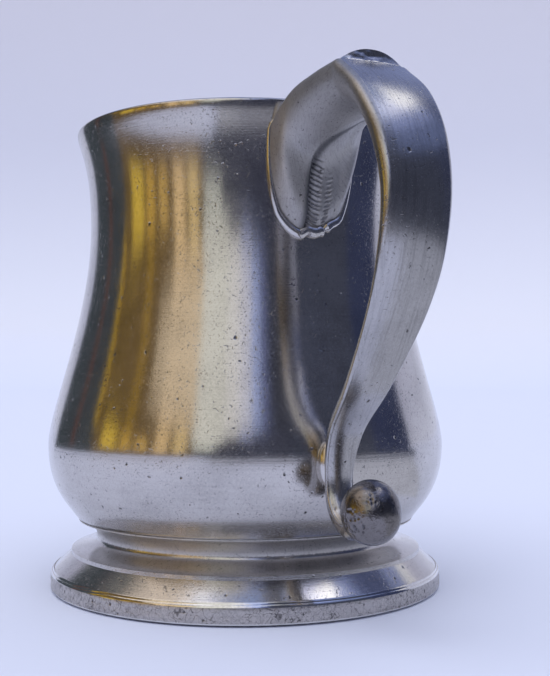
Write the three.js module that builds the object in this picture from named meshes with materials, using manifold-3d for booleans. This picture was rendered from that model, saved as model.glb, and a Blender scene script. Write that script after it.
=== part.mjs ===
// Pewter pint mug: a bellied body on a turned foot, with a cast handle that ends in a ball.
// Millimetres, +Z up. The mug stands on Z = 0 and its handle points along +X.

import * as THREE from "three";
import { mergeVertices } from "three/addons/utils/BufferGeometryUtils.js";
import Module from "manifold-3d";

// Body, outside
const RIM_RADIUS = 44.35;
const RIM_HEIGHT = 116.5;
const RIM_ROUND = 0.6;
const NECK_RADIUS = 40.8;
const NECK_HEIGHT = 92.2;
const BELLY_RADIUS = 51.2;
const BELLY_HEIGHT = 36.4;
const SHOULDER_RADIUS = 43.7;
const SHOULDER_HEIGHT = 17.9;
const WALL = 1.8;

// How far the body's curve keeps straight on at each of its turning points
const SHOULDER_RUN = [2.6, 3.7];
const BELLY_RUN_DOWN = 10.9;
const BELLY_RUN_UP = 9.1;
const NECK_RUN_DOWN = 23.8;
const NECK_RUN_UP = 16.6;
const LIP_RUN = 2.9;

// Seams: the groove round the belly, the base plate's rebate and the foot's seat
const SEAM_DEPTH = 0.9;
const SEAM_HALF_HEIGHT = 0.7;
const SEAM_FILM = 0.3;
const FLOOR_TOP = 21;
const PLATE_RADIUS = 37.2;
const PLATE_THICKNESS = 2;
const PLATE_SOLDER = 0.8;
const FLOOR_OPENING = 34;
const FOOT_SOLDER = 0.3;
const FOOT_SOLDER_BORE = 37.6;
const FOOT_SOLDER_RADIUS = 42.8;

// Foot
const FOOT_RADIUS = 50.4;
const FOOT_EDGE = [0.6, 0.6];
const BAND_TOP = 4.25;
const REEDS = 2;
const REED_STEP = [-0.46, 0.52];
const DOME_PULL = [47.4, 7.19];
const DOME_END = [45.28, 9.05];
const SCOTIA_START = [45.02, 9.95];
const SCOTIA_PULLS = [[37, 10.6], [37, 15.5]];
const FOOT_TOP_RADIUS = 43.4;
const FOOT_LIP = 0.3;
const FOOT_BORE = 37.2;
const HOLLOW_START = [36.2, 13];
const HOLLOW_PULLS = [[36.2, 9.6], [46.6, 8.2]];
const FOOT_RING = 3.2;

// Handle: stations from the body to the ball. Each gives the middle of the outer face and of the
// inner face as radius from the mug's axis and height, then the width, the crown of the outer face
// and its square side.
const THUMB_REST = [
  { outer: [42, 112.4], inner: [40.6, 84.2], width: 21, crown: 0.8, side: 4 },
  { outer: [46, 115.4], inner: [43.7, 89.6], width: 20.4, crown: 1.2, side: 4 },
  { outer: [51.5, 118.3], inner: [47.6, 102.4], width: 19.4, crown: 1.8, side: 3 },
  { outer: [60, 120], inner: [58.5, 107.8], width: 18.3, crown: 2.4, side: 2.2 },
  { outer: [70.4, 120.4], inner: [68.2, 108.6], width: 17.4, crown: 2.6, side: 2 },
];
const STRAP = [
  { outer: [70.8, 117.9], inner: [68.7, 108.6], width: 17.4, crown: 0.4, side: 2 },
  { outer: [80.2, 111], inner: [75.9, 105.2], width: 17.2, crown: 0.6, side: 2 },
  { outer: [87.2, 101], inner: [81.3, 98], width: 16, crown: 0.6, side: 2 },
  { outer: [90, 89], inner: [83.9, 88.8], width: 14.8, crown: 0.6, side: 1.8 },
  { outer: [87.3, 76], inner: [82.2, 77.6], width: 14.2, crown: 0.6, side: 1.4 },
  { outer: [81.7, 66], inner: [77.4, 68.6], width: 13, crown: 0.6, side: 0.8 },
  { outer: [69.2, 51], inner: [65.6, 54.4], width: 10.2, crown: 0.6, side: 0.6 },
  { outer: [59.4, 41], inner: [55.2, 43.4], width: 8, crown: 0.8, side: 0.5 },
  { outer: [56.7, 33], inner: [52.6, 33], width: 6.5, crown: 1, side: 0.4 },
  { outer: [57.8, 27], inner: [53.4, 24.4], width: 6.2, crown: 1, side: 0.4 },
  { outer: [61.8, 24.4], inner: [60.4, 19.8], width: 6, crown: 1, side: 0.4 },
  { outer: [67, 25.6], inner: [67.6, 21.4], width: 5.6, crown: 1, side: 0.4 },
];
const CROWN_POWER = 2.2;
const BALL_CENTRE = [69.4, 26.6];
const BALL_RADIUS = 6.6;
const BALL_SQUEEZE = [0.96, 0.93, 1];

// Solder under the handle's two feet and at the ball
const SOLDER = 0.7;
const CLEARANCE = 0.3;
const ROOT_PAD = { halfWidth: 10.6, top: 114, bend: 103, bottom: 84.2 };
const TAIL_PAD = { halfWidth: 3.6, top: 41, bottom: 29.5 };
const PAD_REACH = 60;

// Fineness of the curves
const TURN_STEPS = 64;
const LOWER_STEPS = 6;
const UPPER_STEPS = 8;
const LIP_STEPS = 5;
const REED_CURVE_STEPS = 2;
const DOME_STEPS = 4;
const SCOTIA_STEPS = 7;
const HOLLOW_STEPS = 6;
const STATION_STEPS = 3;
const FACE_STEPS = 6;
const BACK_STEPS = 10;
const PAD_STEPS = 16;
const BALL_STEPS = [20, 14];
const MERGE_DISTANCE = 1e-4;

// Finishes of the same pewter: as cast and filed, turned on a lathe, and run in as solder
const METALNESS = 0.95;
const CAST = { color: 0x9a9a9c, roughness: 0.35 };
const TURNED = { color: 0xa6a6a8, roughness: 0.3 };
const SOLDERED = { color: 0xb4b3b2, roughness: 0.4 };

const vec = ([r, z]) => new THREE.Vector2(r, z);
const wasm = await Module();
wasm.setup();

function pewter(name, geometry, finish) {
  const material = new THREE.MeshStandardMaterial({ ...finish, metalness: METALNESS });
  const mesh = new THREE.Mesh(geometry, material);
  mesh.name = name;
  return mesh;
}

// Turned pieces: a section of radius and height points, listed upwards on its outer side
function turned(section) {
  const onAxis = section[0].x === 0;
  const outline = onAxis ? section : [...section, section[0]];
  return new THREE.LatheGeometry(outline, TURN_STEPS).rotateX(Math.PI / 2);
}

const shoulder = vec([SHOULDER_RADIUS, SHOULDER_HEIGHT]);
const belly = vec([BELLY_RADIUS, BELLY_HEIGHT]);
const neck = vec([NECK_RADIUS, NECK_HEIGHT]);
const lip = vec([RIM_RADIUS, RIM_HEIGHT - RIM_ROUND]);
const up = (point, run) => new THREE.Vector2(point.x, point.y + run);

const lowerCurve = new THREE.CubicBezierCurve(
  shoulder, shoulder.clone().add(vec(SHOULDER_RUN)), up(belly, -BELLY_RUN_DOWN), belly);
const middleCurve = new THREE.CubicBezierCurve(
  belly, up(belly, BELLY_RUN_UP), up(neck, -NECK_RUN_DOWN), neck);
const lipCurve = new THREE.CubicBezierCurve(neck, up(neck, NECK_RUN_UP), up(lip, -LIP_RUN), lip);

// Points along a curve, moved square to it: outwards where the offset is positive
function offsetPoints(curve, steps, offset) {
  const points = [];
  for (let i = 0; i <= steps; i += 1) {
    const tangent = curve.getTangent(i / steps);
    const normal = new THREE.Vector2(tangent.y, -tangent.x);
    points.push(curve.getPoint(i / steps).addScaledVector(normal, offset));
  }
  return points;
}

function upperSide(offset) {
  const middle = offsetPoints(middleCurve, UPPER_STEPS, offset);
  return [...middle, ...offsetPoints(lipCurve, LIP_STEPS, offset).slice(1)];
}

function lowerSide(offset) {
  return offsetPoints(lowerCurve, LOWER_STEPS, offset);
}

// One lip of the belly seam, from the outside to the inside: above the seam or, with side -1, below it
function seamLip(side) {
  const film = BELLY_HEIGHT + side * SEAM_FILM / 2;
  return [
    up(belly, side * SEAM_HALF_HEIGHT),
    vec([BELLY_RADIUS - SEAM_DEPTH, film]),
    vec([BELLY_RADIUS - WALL, film]),
  ];
}

function upperBody() {
  const outside = upperSide(0).slice(1);
  const inside = upperSide(-WALL).slice(1).reverse();
  const rim = [
    vec([RIM_RADIUS - RIM_ROUND, RIM_HEIGHT]),
    vec([RIM_RADIUS - WALL + RIM_ROUND, RIM_HEIGHT]),
  ];
  return turned([...seamLip(1).reverse(), ...outside, ...rim, ...inside]);
}

const rebateRadius = PLATE_RADIUS + PLATE_SOLDER;
const rebateFloor = FLOOR_TOP - PLATE_THICKNESS;

function lowerBody() {
  const outside = lowerSide(0).slice(0, -1);
  const aboveFloor = (point) => point.y > FLOOR_TOP + WALL / 2;
  const inside = lowerSide(-WALL).slice(0, -1).filter(aboveFloor).reverse();
  const corner = inside[inside.length - 1].x - WALL;
  const floor = [
    vec([corner, FLOOR_TOP]),
    vec([rebateRadius, FLOOR_TOP]),
    vec([rebateRadius, rebateFloor]),
    vec([FLOOR_OPENING, rebateFloor]),
    vec([FLOOR_OPENING, SHOULDER_HEIGHT]),
  ];
  return turned([...outside, ...seamLip(-1), ...inside, ...floor]);
}

function bellySolder() {
  return turned([belly, ...seamLip(1), ...seamLip(-1).reverse()]);
}

function basePlate() {
  return turned([
    vec([0, rebateFloor]),
    vec([PLATE_RADIUS, rebateFloor]),
    vec([PLATE_RADIUS, FLOOR_TOP]),
    vec([0, FLOOR_TOP]),
  ]);
}

function ring(inner, outer, bottom, top) {
  return turned([vec([outer, bottom]), vec([outer, top]), vec([inner, top]), vec([inner, bottom])]);
}

const footTop = SHOULDER_HEIGHT - FOOT_SOLDER;

function foot() {
  const [edgeIn, edgeUp] = FOOT_EDGE;
  const reeds = [];
  const reedFoot = vec([FOOT_RADIUS, BAND_TOP]);
  for (let i = 0; i < REEDS; i += 1) {
    const reedTop = reedFoot.clone().add(vec(REED_STEP));
    const corner = vec([reedFoot.x, reedTop.y]);
    const reed = new THREE.QuadraticBezierCurve(reedFoot.clone(), corner, reedTop);
    reeds.push(...reed.getPoints(REED_CURVE_STEPS).slice(0, -1));
    reedFoot.copy(reedTop);
  }
  const dome = new THREE.QuadraticBezierCurve(reedFoot, vec(DOME_PULL), vec(DOME_END));
  const scotiaEnd = vec([FOOT_TOP_RADIUS, footTop - FOOT_LIP]);
  const scotia = new THREE.CubicBezierCurve(vec(SCOTIA_START), ...SCOTIA_PULLS.map(vec), scotiaEnd);
  const ringInner = vec([FOOT_RADIUS - FOOT_RING, 0]);
  const hollow = new THREE.CubicBezierCurve(vec(HOLLOW_START), ...HOLLOW_PULLS.map(vec), ringInner);
  return turned([
    vec([FOOT_RADIUS - edgeIn, 0]),
    vec([FOOT_RADIUS, edgeUp]),
    ...reeds,
    ...dome.getPoints(DOME_STEPS),
    ...scotia.getPoints(SCOTIA_STEPS),
    vec([FOOT_TOP_RADIUS, footTop]),
    vec([FOOT_BORE, footTop]),
    ...hollow.getPoints(HOLLOW_STEPS),
  ]);
}

// Solids for joining and cutting
function solid(geometry) {
  const bare = geometry.clone();
  bare.deleteAttribute("normal");
  bare.deleteAttribute("uv");
  const merged = mergeVertices(bare, MERGE_DISTANCE);
  const mesh = new wasm.Mesh({
    numProp: 3,
    vertProperties: new Float32Array(merged.attributes.position.array),
    triVerts: new Uint32Array(merged.index.array),
  });
  return new wasm.Manifold(mesh);
}

function geometryOf(manifold) {
  const mesh = manifold.getMesh();
  const geometry = new THREE.BufferGeometry();
  geometry.setAttribute("position", new THREE.BufferAttribute(mesh.vertProperties, mesh.numProp));
  geometry.setIndex(new THREE.BufferAttribute(mesh.triVerts, 1));
  return geometry;
}

// The body's outside as a solid, grown by an offset
function bodyEnvelope(offset) {
  const side = [...lowerSide(offset).slice(0, -1), ...upperSide(offset)];
  const bottom = vec([0, side[0].y]);
  const top = vec([0, side[side.length - 1].y + 2 * WALL]);
  const edge = vec([side[side.length - 1].x, top.y]);
  return solid(turned([bottom, ...side, edge, top]));
}

// One section of the handle: the crowned outer face, the square sides and the rounded back
function handleSection({ outer, inner, width, crown, side }) {
  const depth = outer.distanceTo(inner);
  const outwards = outer.clone().sub(inner).normalize();
  const place = (across, height) => inner.clone().addScaledVector(outwards, height).setY(across);
  const points = [];
  for (let i = 0; i <= FACE_STEPS; i += 1) {
    const share = 2 * i / FACE_STEPS - 1;
    points.push(place(share * width / 2, depth - crown * Math.abs(share) ** CROWN_POWER));
  }
  const backDepth = depth - crown - side;
  for (let i = 0; i <= BACK_STEPS; i += 1) {
    const angle = Math.PI * i / BACK_STEPS;
    points.push(place(Math.cos(angle) * width / 2, backDepth * (1 - Math.sin(angle))));
  }
  return points;
}

// Sections along a run of stations, on curves that pass through every station
function handleRun(stations) {
  const through = (place) => new THREE.CatmullRomCurve3(stations.map(place));
  const outerCurve = through(({ outer: [r, z] }) => new THREE.Vector3(r, 0, z));
  const innerCurve = through(({ inner: [r, z] }) => new THREE.Vector3(r, 0, z));
  const formCurve = through(({ width, crown, side }) => new THREE.Vector3(width, crown, side));
  const steps = STATION_STEPS * (stations.length - 1);
  const sections = [];
  for (let i = 0; i <= steps; i += 1) {
    const form = formCurve.getPoint(i / steps);
    sections.push(handleSection({
      outer: outerCurve.getPoint(i / steps),
      inner: innerCurve.getPoint(i / steps),
      width: form.x,
      crown: form.y,
      side: form.z,
    }));
  }
  return sections;
}

// A closed skin over a row of like sections
function loft(sections) {
  const count = sections[0].length;
  const positions = sections.flat().flatMap((point) => point.toArray());
  const index = [];
  for (let row = 0; row + 1 < sections.length; row += 1) {
    for (let i = 0; i < count; i += 1) {
      const a = row * count + i;
      const b = row * count + (i + 1) % count;
      index.push(a, a + count, b, b, a + count, b + count);
    }
  }
  const last = (sections.length - 1) * count;
  for (let i = 1; i + 1 < count; i += 1) {
    index.push(0, i, i + 1);
    index.push(last, last + i + 1, last + i);
  }
  const geometry = new THREE.BufferGeometry();
  geometry.setAttribute("position", new THREE.Float32BufferAttribute(positions, 3));
  geometry.setIndex(index);
  return geometry;
}

// Pads are outlines seen from the handle's end, cut out of the layer of solder that lies on the body
function pad(shape, layer) {
  const settings = { depth: PAD_REACH, bevelEnabled: false, curveSegments: PAD_STEPS };
  const blank = new THREE.ExtrudeGeometry(shape, settings);
  blank.rotateZ(Math.PI / 2).rotateY(Math.PI / 2);
  return geometryOf(solid(blank).intersect(layer));
}

function rootPadShape() {
  const { halfWidth, top, bend, bottom } = ROOT_PAD;
  const shape = new THREE.Shape();
  shape.moveTo(halfWidth, top);
  shape.lineTo(-halfWidth, top);
  shape.lineTo(-halfWidth, bend);
  shape.absellipse(0, bend, halfWidth, bend - bottom, Math.PI, 2 * Math.PI, false);
  return shape;
}

function tailPadShape() {
  const { halfWidth, top, bottom } = TAIL_PAD;
  const shape = new THREE.Shape();
  shape.absellipse(0, (top + bottom) / 2, halfWidth, (top - bottom) / 2, 0, 2 * Math.PI, false);
  return shape;
}

function ball(growth) {
  const [x, z] = BALL_CENTRE;
  const sizes = BALL_SQUEEZE.map((share) => share * BALL_RADIUS + growth);
  const sphere = new THREE.SphereGeometry(1, ...BALL_STEPS).rotateX(Math.PI / 2);
  return sphere.scale(...sizes).translate(x, 0, z);
}

const handleBlank = solid(loft([...handleRun(THUMB_REST), ...handleRun(STRAP)]));
const solderLayer = bodyEnvelope(CLEARANCE + SOLDER).subtract(bodyEnvelope(CLEARANCE));
const ballSkin = solid(ball(CLEARANCE + SOLDER)).subtract(solid(ball(CLEARANCE)));
const handle = handleBlank
  .subtract(bodyEnvelope(2 * CLEARANCE + SOLDER))
  .subtract(solid(ball(2 * CLEARANCE + SOLDER)));

const plateSolder = ring(PLATE_RADIUS, rebateRadius, rebateFloor, FLOOR_TOP);
const footSolder = ring(FOOT_SOLDER_BORE, FOOT_SOLDER_RADIUS, footTop, SHOULDER_HEIGHT);
const ballSolder = handleBlank.intersect(ballSkin);

const mug = new THREE.Group();
mug.add(
  pewter("upper_body", upperBody(), TURNED),
  pewter("lower_body", lowerBody(), TURNED),
  pewter("belly_seam_solder", bellySolder(), SOLDERED),
  pewter("base_plate", basePlate(), TURNED),
  pewter("base_plate_solder", plateSolder, SOLDERED),
  pewter("foot", foot(), TURNED),
  pewter("foot_solder", footSolder, SOLDERED),
  pewter("handle", geometryOf(handle), CAST),
  pewter("handle_root_solder", pad(rootPadShape(), solderLayer), SOLDERED),
  pewter("handle_tail_solder", pad(tailPadShape(), solderLayer), SOLDERED),
  pewter("ball_terminal", ball(0), CAST),
  pewter("ball_solder", geometryOf(ballSolder), SOLDERED),
);

// The origin is under the middle of the whole mug, handle included
const extent = new THREE.Box3().setFromObject(mug);
mug.position.x = -(extent.min.x + extent.max.x) / 2;

export default mug;
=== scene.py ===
import math

import bmesh
import bpy
from mathutils import Matrix, Vector, noise
from mathutils.geometry import interpolate_bezier


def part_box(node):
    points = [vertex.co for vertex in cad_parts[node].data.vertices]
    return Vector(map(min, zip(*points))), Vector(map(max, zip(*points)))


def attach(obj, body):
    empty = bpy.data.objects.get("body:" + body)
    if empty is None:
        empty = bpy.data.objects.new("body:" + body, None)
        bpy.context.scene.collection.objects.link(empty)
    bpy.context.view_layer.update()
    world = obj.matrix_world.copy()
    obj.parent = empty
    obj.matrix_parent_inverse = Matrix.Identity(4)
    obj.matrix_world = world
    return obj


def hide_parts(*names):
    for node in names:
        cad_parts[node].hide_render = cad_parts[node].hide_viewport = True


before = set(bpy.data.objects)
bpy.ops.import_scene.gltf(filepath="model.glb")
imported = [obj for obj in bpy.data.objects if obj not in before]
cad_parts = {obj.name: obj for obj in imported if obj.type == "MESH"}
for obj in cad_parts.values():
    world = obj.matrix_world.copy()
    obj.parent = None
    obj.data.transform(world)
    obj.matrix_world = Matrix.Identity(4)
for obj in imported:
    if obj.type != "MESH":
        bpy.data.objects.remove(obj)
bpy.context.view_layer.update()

# A worn pewter pint mug on a pale studio floor. Sizes are in millimetres and turned to metres by MM.

MM = 0.001
foot_low, foot_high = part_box("foot")
AXIS = (foot_low.x + foot_high.x) / 2

# Body, outside: radius and height at each turning point of its curve
RIM = (44.35, 116.5)
RIM_ROUND = 0.6
NECK = (40.8, 92.2)
BELLY = (51.2, 36.4)
SHOULDER = (43.7, 17.9)
WALL = 1.8
EDGE = 0.1
EDGE_ROUND = ((-1, 0), (-0.3, 0.3), (0.4, 1))
SHOULDER_RUN = (2.6, 3.7)
BELLY_RUN_DOWN = 10.9
BELLY_RUN_UP = 9.1
NECK_RUN_DOWN = 23.8
NECK_RUN_UP = 16.6
LIP_RUN = 2.9

# Seams and floor
SEAM_DEPTH = 0.9
SEAM_HALF_HEIGHT = 0.7
SEAM_FILM = 0.3
SEAM_SHARES = (-0.6, -0.3, 0, 0.3, 0.6)
FLOOR_TOP = 21
PLATE_RADIUS = 37.2
PLATE_THICKNESS = 2
PLATE_SOLDER = 0.8
FLOOR_OPENING = 34
FOOT_SOLDER = 0.3

# Foot
FOOT_RADIUS = 50.4
FOOT_EDGE = (0.8, 0.85)
FOOT_EDGE_ROUND = (0.3, 0.6)
SOLE_WEAR = (2.4, 0.36)
BAND_TOP = 4.25
BAND_REACH = 1.2
REEDS = 2
REED_STEP = (-0.36, 0.64)
REED_PULL = (-0.12, 0.38)
REED_GROOVE = (-0.1, -0.12)
DOME_PULL = (47.4, 7.19)
DOME_END = (45.28, 9.05)
SCOTIA_START = (45.18, 9.95)
SCOTIA_PULLS = ((42.8, 10.75), (38.9, 11.1))
SCOTIA_DEEPEST = (38.8, 13.2)
FOOT_NECK_PULLS = ((38.8, 15.4), (40.6, 17.2))
FOOT_TOP_RADIUS = 43.4
FOOT_LIP = 0.3
FOOT_BORE = 37.2
HOLLOW_START = (36.2, 13)
HOLLOW_PULLS = ((36.2, 9.6), (46.6, 8.2))
FOOT_RING = 3.2

# Handle stations from the body to the ball: the middle of the outer face, the middle of the inner
# face, then the width, the crown of the outer face and its square side
THUMB_REST = (
    ((41.4, 112.1), (39.5, 83.4), (21, 0.8, 4)),
    ((46, 115.4), (43.7, 89.6), (20.4, 1.2, 4)),
    ((51.5, 118.3), (47.6, 102.4), (19.4, 1.8, 3)),
    ((60, 120), (58.5, 107.8), (18.3, 2.4, 2.2)),
    ((70.4, 120.4), (68.2, 108.6), (17.4, 2.6, 2)),
)
STRAP = (
    ((70.8, 117.9), (68.7, 108.6), (17.4, 0.4, 2)),
    ((80.2, 111), (75.9, 105.2), (17.2, 0.6, 2)),
    ((87.2, 101), (81.3, 98), (16, 0.6, 2)),
    ((90, 89), (83.9, 88.8), (14.8, 0.6, 1.8)),
    ((87.3, 76), (82.2, 77.6), (14.2, 0.6, 1.4)),
    ((81.7, 66), (77.4, 68.6), (13, 0.6, 0.8)),
    ((69.2, 51), (65.6, 54.4), (10.2, 0.6, 0.6)),
    ((59.4, 41), (55.2, 43.4), (8, 0.8, 0.5)),
    ((56.7, 33), (52.6, 33), (6.5, 1, 0.4)),
    ((57.8, 27), (53.4, 24.4), (6.2, 1, 0.4)),
    ((61.8, 24.4), (60.4, 19.8), (6, 1, 0.4)),
    ((67, 25.6), (67.6, 21.4), (5.6, 1, 0.4)),
)
CROWN_POWER = 2.2
ARRIS = 1.7
ARRIS_SHARE = 0.9
TAIL_STATIONS = 4
BALL_CENTRE = (69.4, 26.6)
BALL_RADIUS = 6.6
BALL_SQUEEZE = (0.96, 0.93, 1)

# Wear: waves left by the turner's hand, and the ball's casting pits, in clusters with a direction and a reach
# in radians
WAVE_LENGTH = 17
WAVE_HEIGHT = 0.07
PIT_SPACING = 0.85
PIT_REACH = 0.5
PIT_DEPTH = 0.3
PIT_SHAPE = 0.7
PIT_DIRT = 1.3
PIT_CLUSTERS = (((0.4, -0.88, -0.24), 0.5), ((0.75, -0.45, 0.48), 0.32), ((-0.3, 0.9, 0.2), 0.4))
CLUSTER_EDGE = 0.06
BALL_SWELL = (5, 0.12)

# File work under the root: a hollow with an arched end and walls at its sides, and chatter marks in two
# strips, each with its middle, half width and length. Dirt sits against the left wall. The riser is the
# rough step at the thumb rest's end
TRACK_DEPTH = 0.85
TRACK_SIDES = (-2.7, 7.5)
TRACK_ARCH = (19.5, 38)
TRACK_WALLS = (0.8, 2.5)
CHATTER_STEP = 1.05
CHATTER_DEPTH = 0.2
CHATTER_STRIPS = ((-0.6, 1.7, 24), (2.9, 0.8, 19))
CHATTER_SLANT = 0.3
CHATTER_WANDER = 0.35
STRIP_WANDER = 0.5
STRIP_EDGE = 0.5
STRIP_FADE = 6
WANDER_PER_MM = (0.5, 0.7)
DIRT_REACH = 1.5
DIRT_FILL = 1.15
DIRT_PAST_ARCH = 1
DIRT_FADE = 2
RISER_ROUGHNESS = 0.2
RISER_FIRST_ROW = 0.06
RISER_GRAIN = 1.6
RISER_BITE = 0.6
RISER_LIFT = 0.4

# Solder: the root's bead swells from its ends to its middle, and is thin at one break, given as a share of
# the way along and of the thickness
ROOT_BEAD = (0.45, 1.5)
ROOT_BEAD_BREAK = (0.4, 0.55)
BALL_BEAD = 0.4
TAIL_LUMP = (51.9, 34.8)
TAIL_LUMP_SIZE = (2, 3.2, 5.6)

# Fineness
TURN_STEPS = 240
CURVE_POINTS = 36
NECK_POINTS = 60
RIM_STEPS = 8
BAND_STEPS = 4
REED_POINTS = 7
DOME_POINTS = 22
FOOT_POINTS = 20
FACE_STEPS = 40
ARRIS_STEPS = 6
BACK_STEPS = 90
ROOT_STEPS = 64
STRAP_STEPS = 9
RISER_STEPS = 12
BEAD_STEPS = 12
LUMP_FINENESS = 4
BALL_FINENESS = 6
WELD = 0.002
SHARP = math.radians(38)


def at(radius, height, across=0.0):
    """A point from its distance to the mug's axis, its height and its place across the handle."""
    return Vector((AXIS + radius * MM, across * MM, height * MM))


def placed(name, bm, finishes):
    """Turns a bmesh into a smooth object in the scene."""
    for face in bm.faces:
        face.smooth = True
    mesh = bpy.data.meshes.new(name)
    bm.to_mesh(mesh)
    bm.free()
    for finish in finishes:
        mesh.materials.append(finish)
    piece = bpy.data.objects.new(name, mesh)
    bpy.context.scene.collection.objects.link(piece)
    return piece


def finish_piece(name, bm, finishes, nodes):
    """Makes a piece that stands for CAD nodes and rides on the mug, with its sharp edges kept sharp."""
    for edge in bm.edges:
        if edge.is_manifold and edge.calc_face_angle() > SHARP:
            edge.smooth = False
    piece = placed(name, bm, finishes)
    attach(piece, "root")
    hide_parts(*nodes)


def bezier(start, pull_start, pull_end, end, count=CURVE_POINTS):
    """Points of a cubic curve in the section's plane, as radius and height."""
    points = [Vector((*point, 0)) for point in (start, pull_start, pull_end, end)]
    return [point.to_2d() for point in interpolate_bezier(*points, count)]


def quadratic(start, pull, end, count):
    """Points of a quadratic curve, which is a cubic whose pulls lie two thirds of the way to its own."""
    start, pull, end = Vector(start), Vector(pull), Vector(end)
    return bezier(start, start.lerp(pull, 2 / 3), end.lerp(pull, 2 / 3), end, count)


def moved(point, radius=0.0, height=0.0):
    """A point of the section, moved outwards and up."""
    return Vector((point[0] + radius, point[1] + height))


def offset(points, distance):
    """The curve moved square to itself, outwards where the distance is positive."""
    shifted = []
    for i, point in enumerate(points):
        along = points[min(i + 1, len(points) - 1)] - points[max(i - 1, 0)]
        shifted.append(point + Vector((along.y, -along.x)).normalized() * distance)
    return shifted


lip = Vector((RIM[0], RIM[1] - RIM_ROUND))
lower_side = bezier(SHOULDER, moved(SHOULDER, *SHOULDER_RUN), moved(BELLY, 0, -BELLY_RUN_DOWN), BELLY)
middle_side = bezier(BELLY, moved(BELLY, 0, BELLY_RUN_UP), moved(NECK, 0, -NECK_RUN_DOWN), NECK, NECK_POINTS)
lip_side = bezier(NECK, moved(NECK, 0, NECK_RUN_UP), moved(lip, 0, -LIP_RUN), lip)
upper_side = middle_side + lip_side[1:]
body_side = lower_side + upper_side[1:]


def body_radius(height):
    """The body's outer radius at a height."""
    for low, high in zip(body_side, body_side[1:]):
        if low.y <= height <= high.y:
            return low.x + (high.x - low.x) * (height - low.y) / (high.y - low.y)
    return body_side[-1].x


def spun(outline):
    """A turned piece from a closed section."""
    bm = bmesh.new()
    verts = [bm.verts.new(at(*point)) for point in outline]
    edges = [bm.edges.new(pair) for pair in zip(verts, verts[1:] + verts[:1])]
    bmesh.ops.spin(bm, geom=verts + edges, cent=at(0, 0), axis=(0, 0, 1),
                   angle=2 * math.pi, steps=TURN_STEPS, use_merge=True)
    bmesh.ops.remove_doubles(bm, verts=bm.verts[:], dist=WELD * MM)
    bmesh.ops.recalc_face_normals(bm, faces=bm.faces[:])
    return bm


def seam_lip(side):
    """The lip of a body casting at the seam's groove, above it for side 1 and below it for side -1."""
    film = BELLY[1] + side * SEAM_FILM / 2
    edge = BELLY[1] + side * SEAM_HALF_HEIGHT
    return [
        Vector((body_radius(edge), edge)),
        Vector((BELLY[0] - SEAM_DEPTH, film)),
        Vector((BELLY[0] - WALL, film)),
    ]


def upper_outline():
    """The section of the body's upper casting, with its rounded rim."""
    outside = [point for point in upper_side if point.y > BELLY[1] + SEAM_HALF_HEIGHT]
    inside = [point for point in offset(upper_side, -WALL) if point.y > BELLY[1] + SEAM_FILM]
    half = WALL / 2
    rim_middle = RIM[0] - half
    rim = []
    for i in range(1, RIM_STEPS):
        angle = math.pi * i / RIM_STEPS
        rim.append(Vector((rim_middle + half * math.cos(angle), lip.y + RIM_ROUND * math.sin(angle))))
    return seam_lip(1)[::-1] + outside + rim + inside[::-1]


def lower_outline():
    """The section of the body's lower casting, with a rounded edge at the foot and a rebate for the disc."""
    edge = [moved(SHOULDER, EDGE * out, EDGE * up) for out, up in EDGE_ROUND]
    outside = [point for point in lower_side
               if SHOULDER[1] + 2 * EDGE < point.y < BELLY[1] - SEAM_HALF_HEIGHT]
    inside = [point for point in offset(lower_side, -WALL)
              if FLOOR_TOP + WALL / 2 < point.y < BELLY[1] - SEAM_FILM]
    rebate = PLATE_RADIUS + PLATE_SOLDER
    floor = [
        Vector((inside[0].x - WALL, FLOOR_TOP)),
        Vector((rebate, FLOOR_TOP)),
        Vector((rebate, FLOOR_TOP - PLATE_THICKNESS)),
        Vector((FLOOR_OPENING, FLOOR_TOP - PLATE_THICKNESS)),
        Vector((FLOOR_OPENING, SHOULDER[1])),
    ]
    return edge + outside + seam_lip(-1) + inside[::-1] + floor


def foot_outline():
    """The section of the foot: worn sole, band, reeds, dome, hollow moulding, neck and the hollow below."""
    edge_in, edge_up = FOOT_EDGE
    round_in, round_up = FOOT_EDGE_ROUND
    foot_top = SHOULDER[1] - FOOT_SOLDER
    points = [
        Vector((FOOT_RADIUS - SOLE_WEAR[0], 0)),
        Vector((FOOT_RADIUS - edge_in, SOLE_WEAR[1])),
        Vector((FOOT_RADIUS - edge_in * round_in, edge_up * round_up)),
        Vector((FOOT_RADIUS, edge_up)),
    ]
    for i in range(1, BAND_STEPS):
        points.append(Vector((FOOT_RADIUS, edge_up + (BAND_TOP - edge_up) * i / BAND_STEPS)))
    reed_foot = Vector((FOOT_RADIUS, BAND_TOP))
    for _ in range(REEDS):
        reed_top = reed_foot + Vector(REED_STEP)
        points += quadratic(reed_foot, reed_foot + Vector(REED_PULL), reed_top, REED_POINTS)
        reed_foot = reed_top + Vector(REED_GROOVE)
    points += quadratic(reed_foot, DOME_PULL, DOME_END, DOME_POINTS)
    points += bezier(SCOTIA_START, *SCOTIA_PULLS, SCOTIA_DEEPEST, FOOT_POINTS)[:-1]
    neck_top = (FOOT_TOP_RADIUS, foot_top - FOOT_LIP)
    points += bezier(SCOTIA_DEEPEST, *FOOT_NECK_PULLS, neck_top, FOOT_POINTS)
    points += [Vector((FOOT_TOP_RADIUS, foot_top)), Vector((FOOT_BORE, foot_top))]
    points += bezier(HOLLOW_START, *HOLLOW_PULLS, (FOOT_RADIUS - FOOT_RING, 0), FOOT_POINTS)
    return points


# Materials: the colours of marks, and the sizes of patterns in millimetres

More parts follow.
